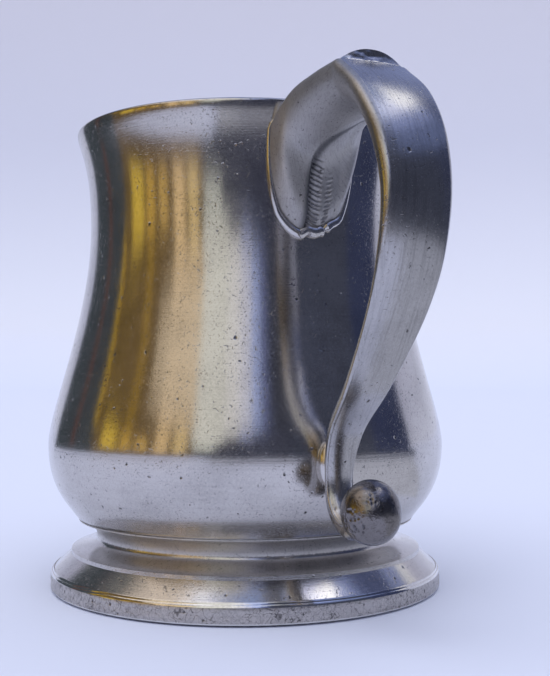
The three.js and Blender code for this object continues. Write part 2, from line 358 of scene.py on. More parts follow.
WRAP = "wrap"
PACKED_DIRT = "packed_dirt"
MARK_GREY = "#4a4849"
UNPOLISHED_GREY = "#6a6664"
DIRT_GREY = "#34363f"
DULL_SHARE = 0.8
SPECKLE = 0.5
MOTTLE = 9
NICK_CROWDING = 12
PIT_CROWDING = 13
PIT_BEND = 0.9
PIT_RAGGEDNESS = 0.7
LATHE_RING = 0.3
RING_STRETCH = 60
FILE_STROKE = 0.45
STROKE_SQUEEZE = 0.035
SCRAPE_WIDTH = 0.42
SCRAPE_SQUEEZE = 0.3
SCRAPE_ANGLE = math.radians(35)
ROOT_LENGTH = (34, 66)
ROOT_BACK = (16, 18)
HOLLOW_HEIGHTS = (12.2, 14.4)


def linear(code):
    """A colour written as sRGB hex, as the linear colour that a shader takes."""
    values = [int(code[i:i + 2], 16) / 255 for i in (1, 3, 5)]
    return [v / 12.92 if v <= 0.04045 else ((v + 0.055) / 1.055) ** 2.4 for v in values] + [1]


def add(tree, kind, inputs=None, output=0, **settings):
    """Adds one shader node with its settings and inputs, and gives one of its outputs. An input that is a
    socket is linked, and anything else is set."""
    made = tree.nodes.new("ShaderNode" + kind)
    for key, value in settings.items():
        setattr(made, key, value)
    for key, value in (inputs or {}).items():
        if isinstance(value, bpy.types.NodeSocket):
            tree.links.new(value, made.inputs[key])
        else:
            made.inputs[key].default_value = value
    return made.outputs[output]


def summed(tree, terms, start=0.0):
    """Marks of several kinds on one surface, each with its own weight, added up from a starting value."""
    for mark, weight in terms:
        start = add(tree, "Math", {0: mark, 1: weight, 2: start}, operation="MULTIPLY_ADD")
    return start


def nicks(tree, place, size, width, share, step):
    """A mask of short curved nicks: the thin contour lines of one noise, chopped by a second and crowded by
    a third. The size is in millimetres, and so is the step, which sets these nicks apart from others."""
    noises = []
    for shift, feature, detail, bend in ((0, size, 1, 0.6), (31, size / 2, 0, 0), (83, NICK_CROWDING, 3, 0)):
        spot = add(tree, "Mapping", {"Vector": place, "Location": ((step + shift) * MM,) * 3})
        noises.append(add(tree, "TexNoise", {"Vector": spot, "Scale": 1 / (feature * MM), "Detail": detail,
                                             "Distortion": bend}))
    contour, chop, crowd = noises
    level = add(tree, "Math", {0: contour, 1: 0.5}, operation="SUBTRACT")
    level = add(tree, "Math", {0: level}, operation="ABSOLUTE")
    line = add(tree, "MapRange", {"Value": level, "From Max": width, "To Min": 1, "To Max": 0})
    there = add(tree, "MapRange", {"Value": chop, "From Min": 1 - share, "From Max": 1.05 - share})
    thick = add(tree, "MapRange", {"Value": crowd, "From Min": 0.28, "From Max": 0.55, "To Min": 0.15})
    chopped = add(tree, "Math", {0: line, 1: there}, operation="MULTIPLY")
    return add(tree, "Math", {0: chopped, 1: thick}, operation="MULTIPLY")


def pits(tree, place, spacing, size, share):
    """A mask of casting pits, ragged and in clusters, with their spacing and size in millimetres."""
    bend = add(tree, "TexNoise", {"Vector": place, "Scale": 1 / (PIT_BEND * MM), "Detail": 0}, "Color")
    bend = add(tree, "VectorMath", {0: bend, 1: (0.5, 0.5, 0.5)}, operation="SUBTRACT")
    ragged = add(tree, "VectorMath", {0: bend, 1: (PIT_RAGGEDNESS * MM,) * 3, 2: place},
                 operation="MULTIPLY_ADD")
    cells = add(tree, "TexVoronoi", {"Vector": ragged, "Scale": 1 / (spacing * MM)}).node.outputs
    chance = add(tree, "SeparateColor", {0: cells["Color"]}).node.outputs
    reach = add(tree, "Math", {0: chance["Red"], 1: size / spacing}, operation="MULTIPLY")
    distance = add(tree, "Math", {0: cells["Distance"], 1: reach}, operation="DIVIDE")
    hollow = add(tree, "MapRange", {"Value": distance, "From Min": 0.4, "To Min": 1, "To Max": 0})
    spot = add(tree, "Mapping", {"Vector": place, "Location": (57 * MM,) * 3})
    crowd = add(tree, "TexNoise", {"Vector": spot, "Scale": 1 / (PIT_CROWDING * MM), "Detail": 2})
    thick = add(tree, "MapRange", {"Value": crowd, "From Min": 0.36, "From Max": 0.66, "To Max": 2 * share})
    there = add(tree, "Math", {0: chance["Green"], 1: thick}, operation="LESS_THAN")
    return add(tree, "Math", {0: hollow, 1: there}, operation="MULTIPLY")


def lathe_lines(tree):
    """Rings left by the lathe: noise that is close along the section and long round the mug. The real ones
    are finer, and these are drawn coarse enough to show."""
    place = add(tree, "TexCoord", output="Object")
    parts = add(tree, "SeparateXYZ", {0: place}).node.outputs
    x = add(tree, "Math", {0: parts["X"], 1: AXIS}, operation="SUBTRACT")
    flat = add(tree, "CombineXYZ", {"X": x, "Y": parts["Y"]})
    radius = add(tree, "VectorMath", {0: flat}, "Value", operation="LENGTH")
    along = add(tree, "Math", {0: parts["Z"], 1: radius}, operation="SUBTRACT")
    close = add(tree, "Math", {0: along, 1: RING_STRETCH}, operation="MULTIPLY")
    rings = add(tree, "CombineXYZ", {"X": parts["X"], "Y": parts["Y"], "Z": close})
    length = LATHE_RING * RING_STRETCH
    return add(tree, "TexNoise", {"Vector": rings, "Scale": 1 / (length * MM), "Detail": 3})


def file_lines(tree):
    """Strokes of a file on the handle's own map: close round the section and long down the strap, with
    slanting scrapes on the root. The real ones are finer, and these are drawn coarse enough to show."""
    wrap = add(tree, "UVMap", uv_map=WRAP)
    long = add(tree, "Mapping", {"Vector": wrap, "Scale": (1, STROKE_SQUEEZE, 1)})
    slanting = add(tree, "Mapping", {"Vector": wrap, "Rotation": (0, 0, SCRAPE_ANGLE),
                                     "Scale": (1, SCRAPE_SQUEEZE, 1)})
    strokes = add(tree, "TexNoise", {"Vector": long, "Scale": 1 / (FILE_STROKE * MM), "Detail": 3})
    scrapes = add(tree, "TexNoise", {"Vector": slanting, "Scale": 1 / (SCRAPE_WIDTH * MM), "Detail": 3})
    return add(tree, "Mix", {0: unpolished_root(tree), 2: strokes, 3: scrapes})


def unpolished_root(tree):
    """A mask of the root's sides and back, which were cleaned up with a file but never burnished."""
    parts = add(tree, "SeparateXYZ", {0: add(tree, "UVMap", uv_map=WRAP)}).node.outputs
    along = add(tree, "MapRange", {"Value": parts["Y"], "From Min": ROOT_LENGTH[0] * MM,
                                   "From Max": ROOT_LENGTH[1] * MM, "To Min": 1, "To Max": 0})
    around = add(tree, "MapRange", {"Value": parts["X"], "From Min": ROOT_BACK[0] * MM,
                                    "From Max": ROOT_BACK[1] * MM})
    return add(tree, "Math", {0: along, 1: around}, operation="MULTIPLY")


def hollow_moulding_mask(tree):
    """A mask of the foot's hollow moulding under the body, found by its height: there the metal is rougher
    and a little darker.
    """
    place = add(tree, "TexCoord", output="Object")
    height = add(tree, "SeparateXYZ", {0: place}, "Z")
    return add(tree, "MapRange", {"Value": height, "From Min": HOLLOW_HEIGHTS[0] * MM,
                                  "From Max": HOLLOW_HEIGHTS[1] * MM})


def pewter(name, colour, roughness, grain, wear, lines=None, coarse=None, spread=0.0, tangent=None,
           dirt=None):
    """Old pewter, a soft grey tin alloy. It was skimmed on a lathe or filed, burnished, then knocked and
    dulled by long use: it mirrors what is round it with a slight haze, and nicks, casting pits and tool
    lines break the image up. Grain and wear are the depth of the fine grain and the share of nicks and
    pits, and spread is how far the rubbing draws a reflection out."""
    material = bpy.data.materials.new(name)
    material.use_nodes = True
    tree = material.node_tree
    shader = tree.nodes["Principled BSDF"]
    place = add(tree, "TexCoord", output="Object")
    speckle = add(tree, "TexNoise", {"Vector": place, "Scale": 1 / (SPECKLE * MM), "Detail": 2})
    mottle = add(tree, "TexNoise", {"Vector": place, "Scale": 1 / (MOTTLE * MM), "Detail": 4})
    holes = pits(tree, place, spacing=2.4, size=0.52, share=0.5 * wear)
    small = nicks(tree, place, size=0.9, width=0.06, share=0.45 * wear, step=3)
    large = nicks(tree, place, size=1.9, width=0.03, share=0.38 * wear, step=19)
    marks = summed(tree, ((holes, 1), (small, 0.6), (large, 0.85)))
    marks = add(tree, "Math", {0: marks, 1: 1}, operation="MINIMUM")

    # What lies on the metal with its strength and shade, what roughens it, and its relief in millimetres
    layers = [(marks, 0.85, MARK_GREY)]
    uneven = [(marks, 0.06), (speckle, 0.06), (mottle, 0.06)]
    relief = [(holes, -0.08), (small, -0.01), (large, -0.026), (speckle, grain), (mottle, 0.02)]
    if coarse:
        left = coarse(tree)
        layers.append((left, 0.05, UNPOLISHED_GREY))
        uneven.append((left, 0.26))
        relief.append((add(tree, "Math", {0: left, 1: speckle}, operation="MULTIPLY"), 0.03))
    if lines:
        tool, depth, stain = lines
        strokes = tool(tree)
        stained = add(tree, "MapRange", {"Value": strokes, "From Min": 0.48, "From Max": 0.68})
        layers.append((stained, stain, MARK_GREY))
        relief.append((strokes, depth))
    if dirt:
        packed = add(tree, "Attribute", output="Fac", attribute_name=dirt)
        layers.append((packed, 0.7, DIRT_GREY))

    bright = linear(colour)
    dull = [channel * DULL_SHARE for channel in bright[:3]] + [1]
    worn = summed(tree, ((speckle, 0.4), (mottle, 0.6)))
    worn = add(tree, "MapRange", {"Value": worn, "From Min": 0.34, "From Max": 0.58})
    skin = add(tree, "Mix", {0: worn, 6: dull, 7: bright}, 2, data_type="RGBA")
    for mask, strength, shade in layers:
        share = add(tree, "Math", {0: mask, 1: strength}, operation="MULTIPLY")
        skin = add(tree, "Mix", {0: share, 6: skin, 7: linear(shade)}, 2, data_type="RGBA")
    bumps = add(tree, "Bump", {"Strength": 1, "Distance": MM, "Height": summed(tree, relief)})
    tree.links.new(skin, shader.inputs["Base Color"])
    tree.links.new(summed(tree, uneven, roughness - 0.06), shader.inputs["Roughness"])
    tree.links.new(bumps, shader.inputs["Normal"])
    shader.inputs["Metallic"].default_value = 1
    if tangent:
        way, turn = tangent
        shader.inputs["Anisotropic"].default_value = spread
        shader.inputs["Anisotropic Rotation"].default_value = turn
        tree.links.new(add(tree, "Tangent", **way), shader.inputs["Tangent"])
    return material


# Tool lines: what draws them, their depth and their stain. Then the ways that the metal was rubbed, each with
# its turn as a share of a full one
LATHE = (lathe_lines, 0.008, 0.06)
FILE = (file_lines, 0.012, 0.22)
ROUND_AXIS = ({"direction_type": "RADIAL", "axis": "Z"}, 0.25)
DOWN_STRAP = ({"direction_type": "UV_MAP", "uv_map": WRAP}, 0)

# The body's outside, skimmed on the lathe and burnished: a hazy mirror, drawn out by the fine rings
turned_pewter = pewter("burnished_pewter", "#cdc9c5", roughness=0.17, grain=0.006, wear=0.85, lines=LATHE,
                       spread=0.6, tangent=ROUND_AXIS)
# The foot, skimmed the same way: as clear, but rougher and a little darker in the hollow moulding
foot_pewter = pewter("skimmed_pewter", "#cdc9c5", roughness=0.17, grain=0.006, wear=0.85, lines=LATHE,
                     coarse=hollow_moulding_mask, spread=0.6, tangent=ROUND_AXIS)
# The inside, skimmed and then only rinsed: grey, and too dull to mirror more than light and dark
inner_pewter = pewter("dulled_pewter", "#aeaaa6", roughness=0.36, grain=0.01, wear=0.8, lines=LATHE,
                      spread=0.4, tangent=ROUND_AXIS)
# The handle, cast, filed along its length and burnished: a streaky mirror, with a duller, scraped root
cast_pewter = pewter("filed_pewter", "#b9b7b7", roughness=0.25, grain=0.008, wear=0.8, lines=FILE,
                     coarse=unpolished_root, spread=0.3, tangent=DOWN_STRAP, dirt=PACKED_DIRT)
# The ball, cast and hardly cleaned up, with pits that hold dirt: its darker colour is painted shade, for the
# shadowed floor that its lower half mirrors
shaded_ball_pewter = pewter("pitted_pewter_painted_shade", "#827e7e", roughness=0.22, grain=0.022, wear=1.4, dirt=PACKED_DIRT)
# The foot's upright band, knocked on tables for years: rough and dented, so that it hardly mirrors
band_pewter = pewter("knocked_pewter", "#c6c1be", roughness=0.3, grain=0.05, wear=3, lines=LATHE)
# The foot's edges, rubbed by hands and cloths: the brightest and smoothest metal on the mug
rubbed_pewter = pewter("rubbed_pewter", "#e4e2df", roughness=0.12, grain=0.004, wear=0.6)
# Solder, run in hot and wiped: smooth, bright and a little lumpy
solder = pewter("pewter_solder", "#cfccca", roughness=0.2, grain=0.015, wear=0.6)


# Pieces

def waves(bm):
    """Gives a turned piece the slight waves of hand work."""
    for vert in bm.verts:
        outwards = Vector((vert.co.x - AXIS, vert.co.y, 0)).normalized()
        vert.co += outwards * noise.noise(vert.co / (WAVE_LENGTH * MM)) * WAVE_HEIGHT * MM
    return bm


def seam_outline():
    """The section of the solder in the belly's seam, flush with the skin."""
    heights = [BELLY[1] + share * SEAM_HALF_HEIGHT for share in SEAM_SHARES]
    skin = [Vector((body_radius(height), height)) for height in heights]
    return skin + seam_lip(1) + seam_lip(-1)[::-1]


def dull_inside(bm):
    """Marks the faces that look at the mug's axis, which get the second finish."""
    bm.normal_update()
    for face in bm.faces:
        middle = face.calc_center_median() - at(0, 0)
        if face.normal.x * middle.x + face.normal.y * middle.y < 0:
            face.material_index = 1
    return bm


BODY_FINISHES = [turned_pewter, inner_pewter]
upper = dull_inside(waves(spun(upper_outline())))
finish_piece("body_upper", upper, BODY_FINISHES, ["upper_body"])
lower = dull_inside(waves(spun(lower_outline())))
finish_piece("body_lower", lower, BODY_FINISHES, ["lower_body"])
finish_piece("seam_soldered", waves(spun(seam_outline())), [turned_pewter],
             ["belly_seam_solder"])


def knocked_band(bm):
    """Marks the foot's upright band, which is knocked and pitted, for the third finish, and the edges above
    and below it, which handling has rubbed bright, for the fourth."""
    reeds_top = BAND_TOP + REEDS * (REED_STEP[1] + REED_GROOVE[1])
    for face in bm.faces:
        middle = face.calc_center_median() - at(0, 0)
        if math.hypot(middle.x, middle.y) > (FOOT_RADIUS - BAND_REACH) * MM and middle.z < reeds_top * MM:
            face.material_index = 2 if FOOT_EDGE[1] * MM < middle.z < BAND_TOP * MM else 3
    return bm


FOOT_FINISHES = [foot_pewter, inner_pewter, band_pewter, rubbed_pewter]
foot = knocked_band(dull_inside(spun(foot_outline())))
finish_piece("foot_turned", foot, FOOT_FINISHES, ["foot"])


def through(points, steps, before=None, after=None):
    """Points on a smooth curve that passes through all the given ones, with even steps between them. It leans
    on the points before and after the run, where there are any."""
    points = [Vector(point).to_3d() for point in points]
    before = Vector(before).to_3d() if before else 2 * points[0] - points[1]
    after = Vector(after).to_3d() if after else 2 * points[-1] - points[-2]
    padded = [before] + points + [after]
    made = []
    for i in range(len(points) - 1):
        a, b, c, d = padded[i:i + 4]
        ta = 0
        tb = ta + math.sqrt((b - a).length)
        tc = tb + math.sqrt((c - b).length)
        td = tc + math.sqrt((d - c).length)
        for step in range(steps):
            t = tb + (tc - tb) * step / steps
            ab = a.lerp(b, (t - ta) / (tb - ta))
            bc = b.lerp(c, (t - tb) / (tc - tb))
            cd = c.lerp(d, (t - tc) / (td - tc))
            abc = ab.lerp(bc, (t - ta) / (tc - ta))
            bcd = bc.lerp(cd, (t - tb) / (td - tb))
            made.append(abc.lerp(bcd, (t - tb) / (tc - tb)))
    return made + [points[-1]]


def smooth_step(value):
    """A soft rise from 0 to 1, flat at both ends."""
    value = min(max(value, 0.0), 1.0)
    return value * value * (3 - 2 * value)


def track_left(travel):
    """The arched left edge of the file track, at a distance along the root."""
    left, right = TRACK_SIDES
    bend = min(max((travel - TRACK_ARCH[0]) / (TRACK_ARCH[1] - TRACK_ARCH[0]), 0.0), 1.0)
    return left + (right - left) * (1 - math.sqrt(1 - bend * bend))


def file_track(across, travel):
    """How deep the file cut the root's underside, at a place across it and along it."""
    left_wall, right_wall = TRACK_WALLS
    depth = TRACK_DEPTH * smooth_step((across - track_left(travel)) / left_wall)
    depth *= smooth_step((TRACK_SIDES[1] - across) / right_wall)
    for middle, reach, length in CHATTER_STRIPS:
        wander = noise.noise(Vector((across * WANDER_PER_MM[0], travel * WANDER_PER_MM[1], middle)))
        strip = smooth_step((reach + STRIP_WANDER * wander - abs(across - middle)) / STRIP_EDGE)
        strip *= smooth_step((length - travel) / STRIP_FADE)
        place = travel + CHATTER_SLANT * across + CHATTER_WANDER * wander
        beat = math.sin(2 * math.pi * place / CHATTER_STEP)
        depth += CHATTER_DEPTH * (0.5 + beat) * strip
    return depth


BACK_COLUMNS = range(FACE_STEPS + ARRIS_STEPS + 2, FACE_STEPS + ARRIS_STEPS + BACK_STEPS)


def handle_section(outer, inner, form):
    """The handle's section at one station: crowned face, rounded arrises, square sides, round back."""
    width, crown, side = form
    depth = (outer - inner).length
    outwards = (outer - inner).normalized()
    arris = min(ARRIS, side * ARRIS_SHARE)
    half = width / 2
    corner = depth - crown
    local = []
    for i in range(FACE_STEPS + 1):
        share = 2 * i / FACE_STEPS - 1
        local.append((share * (half - arris), depth - crown * abs(share) ** CROWN_POWER))
    turns = [math.pi / 2 * i / ARRIS_STEPS for i in range(1, ARRIS_STEPS + 1)]
    local += [(half - arris * (1 - math.sin(a)), corner - arris * (1 - math.cos(a))) for a in turns]
    back = corner - side
    for i in range(BACK_STEPS + 1):
        angle = math.pi * i / BACK_STEPS
        local.append((half * math.cos(angle), back * (1 - math.sin(angle))))
    local += [(arris * (1 - math.sin(a)) - half, corner - arris * (1 - math.cos(a))) for a in turns[::-1]]
    points = []
    for across, height in local:
        spot = inner + outwards * height
        points.append(at(spot.x, spot.y, across))
    return points


def handle_run(stations, steps, inner_before=None, inner_after=None):
    """Rows of section points through a run of stations, with what the inner face leans on past its ends."""
    outers, inners, forms = zip(*stations)
    runs = through(outers, steps), through(inners, steps, inner_before, inner_after), through(forms, steps)
    return [handle_section(*parts) for parts in zip(*runs)]


def back_travel(rows):
    """The distance along the middle of the back, in millimetres, at each row."""
    middle = FACE_STEPS + ARRIS_STEPS + 1 + BACK_STEPS // 2
    steps = [(b[middle] - a[middle]).length / MM for a, b in zip(rows, rows[1:])]
    return [sum(steps[:i]) for i in range(len(rows))]


def filed(rows):
    """The root's rows with the file track cut into their back, square to the skin."""
    last = len(rows) - 1
    made = []
    for i, (row, travel) in enumerate(zip(rows, back_travel(rows))):
        cut_row = list(row)
        for column in BACK_COLUMNS:
            round_skin = row[column + 1] - row[column - 1]
            down_skin = rows[min(i + 1, last)][column] - rows[max(i - 1, 0)][column]
            inwards = round_skin.cross(down_skin).normalized()
            cut_row[column] = row[column] + inwards * file_track(row[column].y / MM, travel) * MM
        made.append(cut_row)
    return made


def riser(first, last):
    """Rough rows between the thumb rest's end and the strap, where the metal was left as it broke."""
    rows = []
    for step in range(1, RISER_STEPS):
        share = RISER_FIRST_ROW if step == 1 else step / RISER_STEPS
        row = []
        for column, (a, b) in enumerate(zip(first, last)):
            inset = math.sin(math.pi * min(column, FACE_STEPS) / FACE_STEPS) * math.sin(math.pi * share)
            point = a.lerp(b, share)
            rough = noise.fractal(point / (RISER_GRAIN * MM), 1.0, 2.0, 3)
            torn = Vector((rough - RISER_BITE, 0, rough * RISER_LIFT)) * RISER_ROUGHNESS * MM
            row.append(point + torn * inset)
        rows.append(row)
    return rows


def lofted(sections):
    """A closed skin over a row of rings, with a map of the distance round each ring and along the row. The
    distance along is measured on one line of points."""
    bm = bmesh.new()
    wrap = bm.loops.layers.uv.new(WRAP)
    count = len(sections[0])
    measured = count // 8
    rings = []
    places = {}
    along = 0.0
    for row, section in enumerate(sections):
        if row:
            along += (section[measured] - sections[row - 1][measured]).length
        verts = [bm.verts.new(point) for point in section]
        steps = [(b - a).length for a, b in zip(section, section[1:] + section[:1])]
        for column, vert in enumerate(verts):
            places[vert] = (column, sum(steps[:column]), along, sum(steps))
        rings.append([bm.edges.new(pair) for pair in zip(verts, verts[1:] + verts[:1])])
    for first, second in zip(rings, rings[1:]):
        bmesh.ops.bridge_loops(bm, edges=first + second)
    for ring in (rings[0], rings[-1]):
        bmesh.ops.edgeloop_fill(bm, edges=ring)
    for face in bm.faces:
        closing = any(places[loop.vert][0] == count - 1 for loop in face.loops)
        for loop in face.loops:
            column, around, length, girth = places[loop.vert]
            if closing and column == 0:
                around = girth
            loop[wrap].uv = (around, length)
    bmesh.ops.recalc_face_normals(bm, faces=bm.faces[:])
    return bm


root_rows = filed(handle_run(THUMB_REST, ROOT_STEPS, inner_after=STRAP[1][1]))
strap_rows = handle_run(STRAP, STRAP_STEPS, inner_before=THUMB_REST[-2][1])
handle_rows = root_rows + riser(root_rows[-1], strap_rows[0]) + strap_rows


def dirt_in_track(bm, rows):
    """Marks where dirt and old polish packed against the step of the file track."""
    dirt = bm.verts.layers.float.new(PACKED_DIRT)
    verts = bm.verts[:]
    for i, travel in enumerate(back_travel(rows)):
        for column in BACK_COLUMNS:
            vert = verts[i * len(rows[0]) + column]
            beside = abs(vert.co.y / MM - track_left(travel) - TRACK_WALLS[0] / 2)
            left_to_run = TRACK_ARCH[1] + DIRT_PAST_ARCH - travel
            vert[dirt] = smooth_step(DIRT_FILL - beside / DIRT_REACH) * smooth_step(left_to_run / DIRT_FADE)
    return bm


handle_skin = dirt_in_track(lofted(handle_rows), root_rows)
finish_piece("handle_cast", handle_skin, [cast_pewter], ["handle"])


def bead(path, radii):
    """A bead of solder along a row of points, round in section."""
    rings = []
    for i, point in enumerate(path):
        along = (path[min(i + 1, len(path) - 1)] - path[max(i - 1, 0)]).normalized()
        turn = along.to_track_quat("Z", "Y").to_matrix()
        ring = []
        for step in range(BEAD_STEPS):
            angle = 2 * math.pi * step / BEAD_STEPS
            ring.append(point + turn @ Vector((math.cos(angle), math.sin(angle), 0)) * radii[i] * MM)
        rings.append(ring)
    return lofted(rings)


def crossing(rows, column, outside):
    """Where one line of points down the handle passes through a surface, given how far outside it is."""
    line = [row[column] for row in rows]
    for first, second in zip(line, line[1:]):
        before, after = outside(first), outside(second)
        if (before < 0) != (after < 0):
            return first.lerp(second, before / (before - after))
    return line[0]


def off_body(point):
    """How far a point is outside the body, in millimetres."""
    return math.hypot(point.x - AXIS, point.y) / MM - body_radius(point.z / MM)


def off_ball(point):
    """How far a point is outside the ball, in millimetres."""
    return (point - at(*BALL_CENTRE)).length / MM - BALL_RADIUS * BALL_SQUEEZE[0]


columns = len(handle_rows[0])
root_path = [crossing(root_rows, column, off_body) for column in range(FACE_STEPS, columns)]
root_path = root_path[::2] + [crossing(root_rows, 0, off_body)]
swell = [math.sin(math.pi * i / (len(root_path) - 1)) ** 2 for i in range(len(root_path))]
root_radii = [ROOT_BEAD[0] + (ROOT_BEAD[1] - ROOT_BEAD[0]) * share for share in swell]
root_radii[int(len(root_radii) * ROOT_BEAD_BREAK[0])] *= ROOT_BEAD_BREAK[1]
finish_piece("root_soldered", bead(root_path, root_radii), [solder], ["handle_root_solder"])

tail_rows = strap_rows[-TAIL_STATIONS * STRAP_STEPS:]
ball_path = [crossing(tail_rows, column, off_ball) for column in range(0, columns, 2)]
ball_path.append(ball_path[0])
ball_bead = bead(ball_path, [BALL_BEAD] * len(ball_path))
finish_piece("ball_soldered", ball_bead, [solder], ["ball_solder"])


def lump(size, centre, fineness):
    """An egg shape of three half sizes round a point."""
    bm = bmesh.new()
    bmesh.ops.create_icosphere(bm, subdivisions=fineness, radius=MM)
    bmesh.ops.scale(bm, vec=size, verts=bm.verts[:])
    bmesh.ops.translate(bm, vec=at(*centre), verts=bm.verts[:])
    return bm


tail_solder = lump(TAIL_LUMP_SIZE, TAIL_LUMP, LUMP_FINENESS)
finish_piece("tail_soldered", tail_solder, [solder], ["handle_tail_solder"])


def pitted_ball():
    """The ball, with the pits that gas left in the casting."""
    bm = lump([share * BALL_RADIUS for share in BALL_SQUEEZE], BALL_CENTRE, BALL_FINENESS)
    bm.normal_update()
    dirt = bm.verts.layers.float.new(PACKED_DIRT)
    for vert in bm.verts:
        near = noise.voronoi(vert.co / (PIT_SPACING * MM))[0][0]
        depth = max(0.0, 1 - near / PIT_REACH) ** PIT_SHAPE
        facing = [vert.normal.dot(Vector(way).normalized()) - math.cos(reach) for way, reach in PIT_CLUSTERS]
        depth *= smooth_step(max(facing) / CLUSTER_EDGE)
        vert[dirt] = smooth_step(PIT_DIRT * depth)
        uneven = noise.noise(vert.co / (BALL_SWELL[0] * MM)) * BALL_SWELL[1]
        vert.co += vert.normal * (uneven - depth * PIT_DEPTH) * MM
    return bm


finish_piece("ball_pitted", pitted_ball(), [shaded_ball_pewter], ["ball_terminal"])

CAD_FINISHES = {"base_plate": inner_pewter, "base_plate_solder": solder, "foot_solder": solder}
for name, finish in CAD_FINISHES.items():
    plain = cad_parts[name]
    plain.data.materials.clear()
    plain.data.materials.append(finish)


# Studio: a pale floor that curves up into a wall far off, and cards that only the metal reflects. Each card
# stands nearer than the one before it by CARD_STEP, and lies higher on the floor by CARD_LIFT

VIEW_AZIMUTH = 21.2
SWEEP_FLAT = 2500
SWEEP_CURVE = 900
SWEEP_TOP = 1700
SWEEP_PULLS = (0.6, 0.4)
SWEEP_POINTS = 16
PAPER_RISE = (10, 200)
# Heights over which painted shade makes the wall greyer and darker
PAPER_SHADE_RISE = (300, 1500)
STAGE_WELD = 0.01
STAGE_STEPS = 96
FULL_TURN = 6.28
CARD_DISTANCE = 2400
CARD_STEP = 20
CARD_CENTRE = 60
CARD_ROWS = 12
CARD_FACET = 0.05
FEWEST_FACETS = 4
CARD_FLOOR = 1
CARD_LIFT = 0.3
LAMP_WAY = (-0.4, 0.32, -1)


def stage_piece(name, bm, material):
    """Makes an object that is stage and not part of the mug."""
    piece = placed(name, bm, [material])
    return piece


def paper():
    """Matt rolled paper, bluish near the mug, with painted shade that makes it greyer and darker where it
    rises
    high behind it: it takes soft shadows and mirrors almost nothing."""
    material = bpy.data.materials.new("pale_paper")
    material.use_nodes = True
    tree = material.node_tree
    shader = tree.nodes["Principled BSDF"]
    place = add(tree, "TexCoord", output="Object")
    height = add(tree, "SeparateXYZ", {0: place}, "Z")
    shares = []
    for low, high in (PAPER_RISE, PAPER_SHADE_RISE):
        shares.append(add(tree, "MapRange", {"Value": height, "From Min": low * MM, "From Max": high * MM}))
    # Painted shade: the paper turns greyer and darker high up the wall behind the mug
    wall = add(tree, "Mix", {0: shares[1], 6: linear("#d6d9e6"), 7: linear("#d0cfda")}, 2, data_type="RGBA")
    tone = add(tree, "Mix", {0: shares[0], 6: linear("#d2d8ee"), 7: wall}, 2, data_type="RGBA")
    tree.links.new(tone, shader.inputs["Base Color"])
    shader.inputs["Roughness"].default_value = 0.9
    shader.inputs["Specular IOR Level"].default_value = 0.1
    return material


def turned_sheet(outline, start=0.0, sweep_angle=2 * math.pi, steps=STAGE_STEPS):
    """A sheet turned round the mug's axis from a row of radius and height points."""
    bm = bmesh.new()
    verts = [bm.verts.new(at(*point)) for point in outline]
    edges = [bm.edges.new(pair) for pair in zip(verts, verts[1:])]
    bmesh.ops.rotate(bm, cent=at(0, 0), matrix=Matrix.Rotation(start, 3, "Z"), verts=verts)
    bmesh.ops.spin(bm, geom=verts + edges, cent=at(0, 0), axis=(0, 0, 1), angle=sweep_angle, steps=steps,
                   use_merge=sweep_angle > FULL_TURN)
    bmesh.ops.remove_doubles(bm, verts=bm.verts[:], dist=STAGE_WELD * MM)
    return bm


def sweep():
    """The floor, and its curve up into the wall."""
    wall = SWEEP_FLAT + SWEEP_CURVE
    pull_out = (SWEEP_FLAT + SWEEP_CURVE * SWEEP_PULLS[0], 0)
    pull_up = (wall, SWEEP_CURVE * SWEEP_PULLS[1])
    curve = bezier((SWEEP_FLAT, 0), pull_out, pull_up, (wall, SWEEP_CURVE), SWEEP_POINTS)
    bm = turned_sheet([Vector((0, 0))] + curve + [Vector((wall, SWEEP_TOP))])
    bmesh.ops.recalc_face_normals(bm, faces=bm.faces[:])
    bmesh.ops.reverse_faces(bm, faces=bm.faces[:])
    return bm


stage_piece("studio_floor", sweep(), paper())


def card(name, order, azimuths, elevations, colour, strength, edge):
    """A reflector seen only in the metal: a patch of a large sphere round the mug. Azimuth 0 is towards the
    camera and grows to the right of the picture. With an edge it also covers the floor from there out."""
    material = bpy.data.materials.new(name)
    material.use_nodes = True
    tree = material.node_tree
    tree.nodes.remove(tree.nodes["Principled BSDF"])
    glow = add(tree, "Emission", {"Color": linear(colour), "Strength": strength})
    tree.links.new(glow, tree.nodes["Material Output"].inputs["Surface"])
    distance = CARD_DISTANCE - CARD_STEP * order
    floor = CARD_FLOOR + CARD_LIFT * order
    low, high = (math.radians(value) for value in elevations)
    outline = [Vector((edge, floor))] if edge else []
    for i in range(CARD_ROWS + 1):
        tilt = low + (high - low) * i / CARD_ROWS
        height = CARD_CENTRE + distance * math.sin(tilt)
        outline.append(Vector((distance * math.cos(tilt), max(floor, height))))
    first, last = (math.radians(value - VIEW_AZIMUTH) for value in azimuths)
    facets = max(FEWEST_FACETS, int((last - first) / CARD_FACET))
    piece = stage_piece(name, turned_sheet(outline, first, last - first, facets), material)
    piece.visible_camera = False
    piece.visible_diffuse = False
    piece.visible_shadow = False


